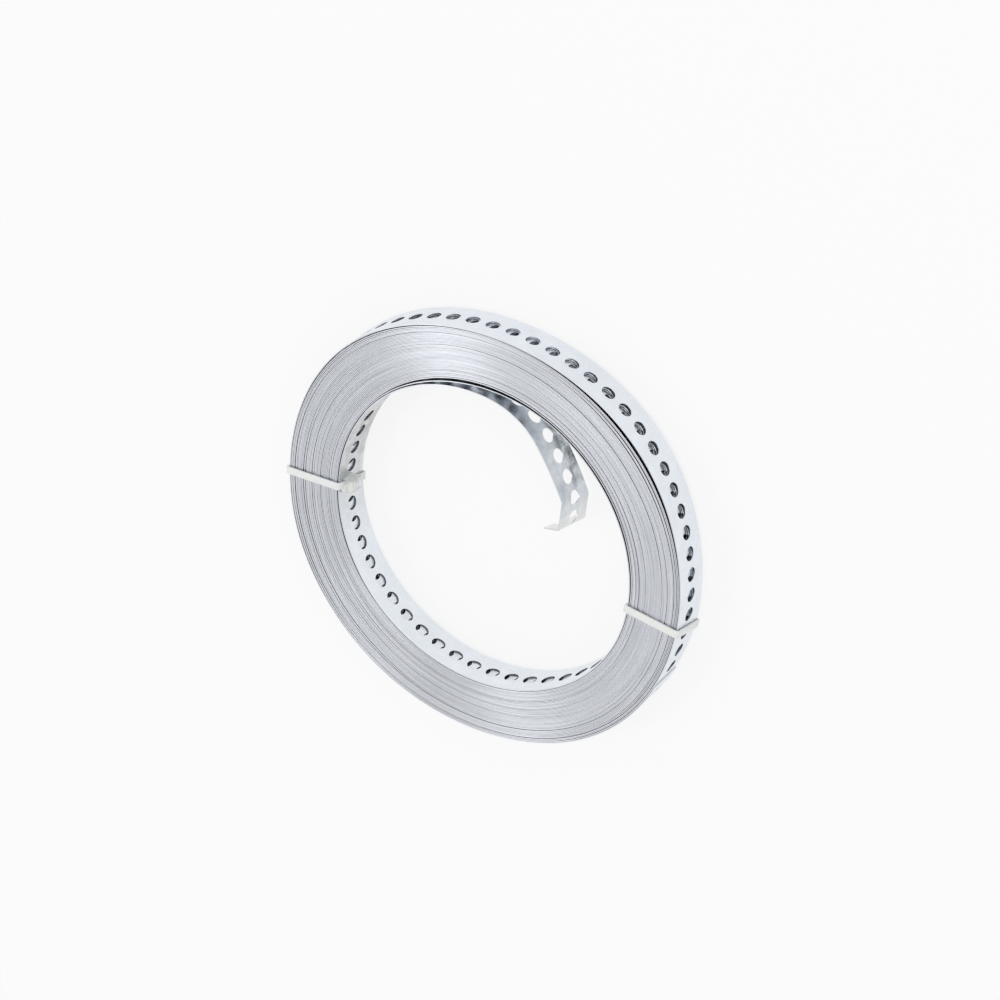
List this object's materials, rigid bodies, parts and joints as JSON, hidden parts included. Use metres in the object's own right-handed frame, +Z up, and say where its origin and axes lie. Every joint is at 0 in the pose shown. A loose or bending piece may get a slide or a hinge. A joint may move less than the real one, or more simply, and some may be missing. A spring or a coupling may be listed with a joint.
{
  "type": "perforated steel strap coil",
  "caption": "Coil of perforated steel strap lying on its end, with a loose folded inner end and two cable ties.",
  "frame": {"origin": "on the coil's axis, level with the undersides of the ties that it lies on", "axes": "+Z up along the coil's axis, and +X towards the side between the right tie and the inner end's folds"},
  "size_m": [0.2029, 0.2042, 0.0227],
  "materials": {
    "zinc_steel": "bright galvanised",
    "tie_plastic": "satin"
  },
  "bodies": {
    "root": {"strap": "zinc_steel", "left_tie": "tie_plastic", "right_tie": "tie_plastic"}
  },
  "joints": []
}
